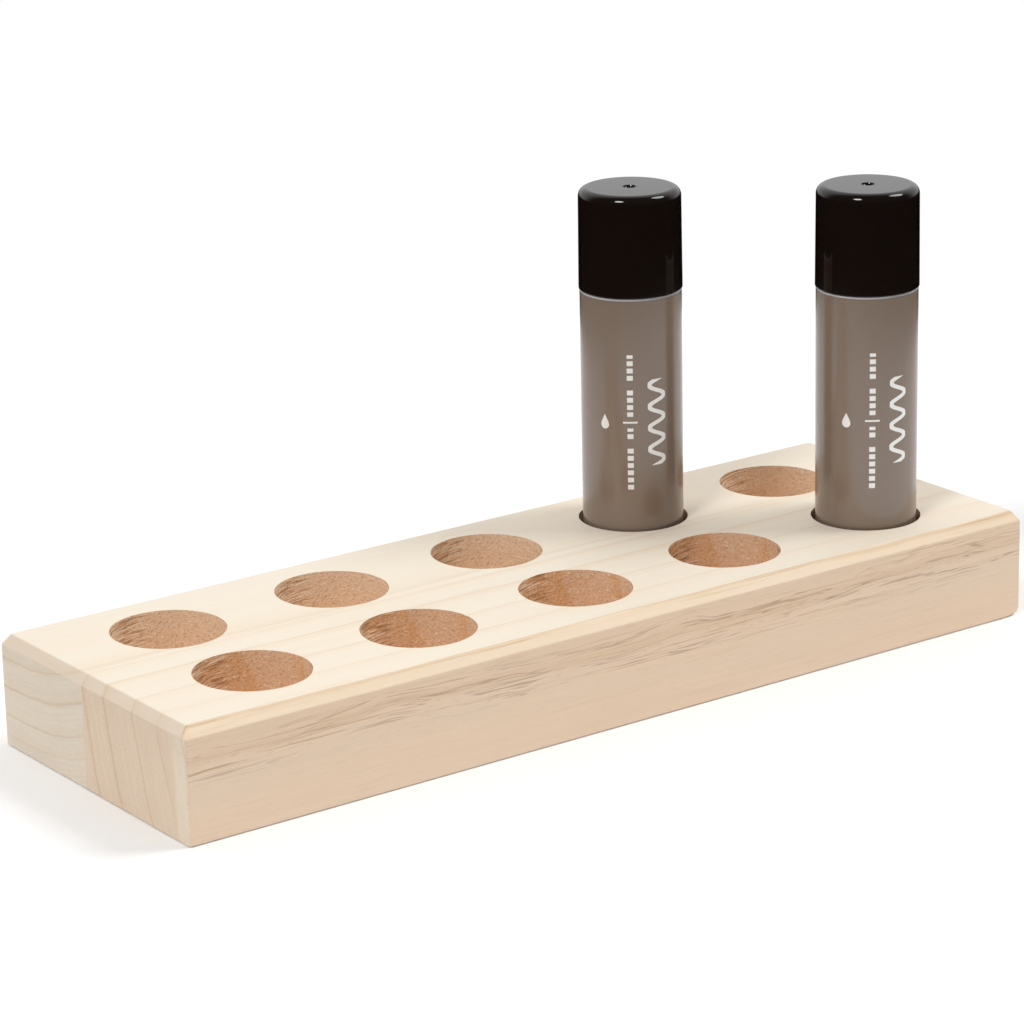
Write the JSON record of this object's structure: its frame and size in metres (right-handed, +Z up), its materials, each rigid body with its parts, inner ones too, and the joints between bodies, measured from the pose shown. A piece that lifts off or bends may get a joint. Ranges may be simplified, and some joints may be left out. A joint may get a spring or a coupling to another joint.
{
  "type": "glue stick holder block",
  "caption": "Wooden desk block with two rows of round blind holes that hold glue sticks upright, stocked with capped twist-up sticks.",
  "frame": {"origin": "middle of the block's underside", "axes": "+X along the rows of holes, +Y towards the rear row, +Z up"},
  "size_m": [0.27, 0.09, 0.123],
  "materials": {
    "wood": "bare, sanded",
    "cap_plastic": "gloss",
    "label": "satin printed film",
    "white_plastic": "moulded",
    "glue": "waxy"
  },
  "bodies": {
    "block": {"front_board": "wood", "rear_board": "wood"},
    "rear_stick": {"rear_barrel": "white_plastic", "rear_label": "label"},
    "rear_cap": {"rear_cap": "cap_plastic"},
    "rear_drive": {"rear_knob": "white_plastic", "rear_spindle": "white_plastic"},
    "rear_lift": {"rear_carrier": "white_plastic", "rear_glue": "glue"},
    "front_stick": {"front_barrel": "white_plastic", "front_label": "label"},
    "front_cap": {"front_cap": "cap_plastic"},
    "front_drive": {"front_knob": "white_plastic", "front_spindle": "white_plastic"},
    "front_lift": {"front_carrier": "white_plastic", "front_glue": "glue"}
  },
  "joints": [
    {"name": "rear_stick_lift", "type": "slide", "parent": "block", "child": "rear_stick", "axis": [0, 0, 1], "range_m": [0, 0.04]},
    {"name": "rear_cap_pull", "type": "slide", "parent": "rear_stick", "child": "rear_cap", "axis": [0, 0, 1], "range_m": [0, 0.045]},
    {"name": "rear_knob_turn", "type": "hinge", "parent": "rear_stick", "child": "rear_drive", "pos_m": [0.05, 0.02, 0.016], "axis": [0, 0, 1], "range_deg": [0, 1080]},
    {"name": "rear_glue_rise", "type": "slide", "parent": "rear_stick", "child": "rear_lift", "axis": [0, 0, 1], "range_m": [0, 0.0121]},
    {"name": "front_stick_lift", "type": "slide", "parent": "block", "child": "front_stick", "axis": [0, 0, 1], "range_m": [0, 0.04]},
    {"name": "front_cap_pull", "type": "slide", "parent": "front_stick", "child": "front_cap", "axis": [0, 0, 1], "range_m": [0, 0.045]},
    {"name": "front_knob_turn", "type": "hinge", "parent": "front_stick", "child": "front_drive", "pos_m": [0.1, -0.02, 0.016], "axis": [0, 0, 1], "range_deg": [0, 1080]},
    {"name": "front_glue_rise", "type": "slide", "parent": "front_stick", "child": "front_lift", "axis": [0, 0, 1], "range_m": [0, 0.0121]}
  ],
  "couplings": [
    {"joint": "rear_glue_rise", "follows": "rear_knob_turn", "m_per_rad": 0.00063662},
    {"joint": "front_glue_rise", "follows": "front_knob_turn", "m_per_rad": 0.00063662}
  ]
}
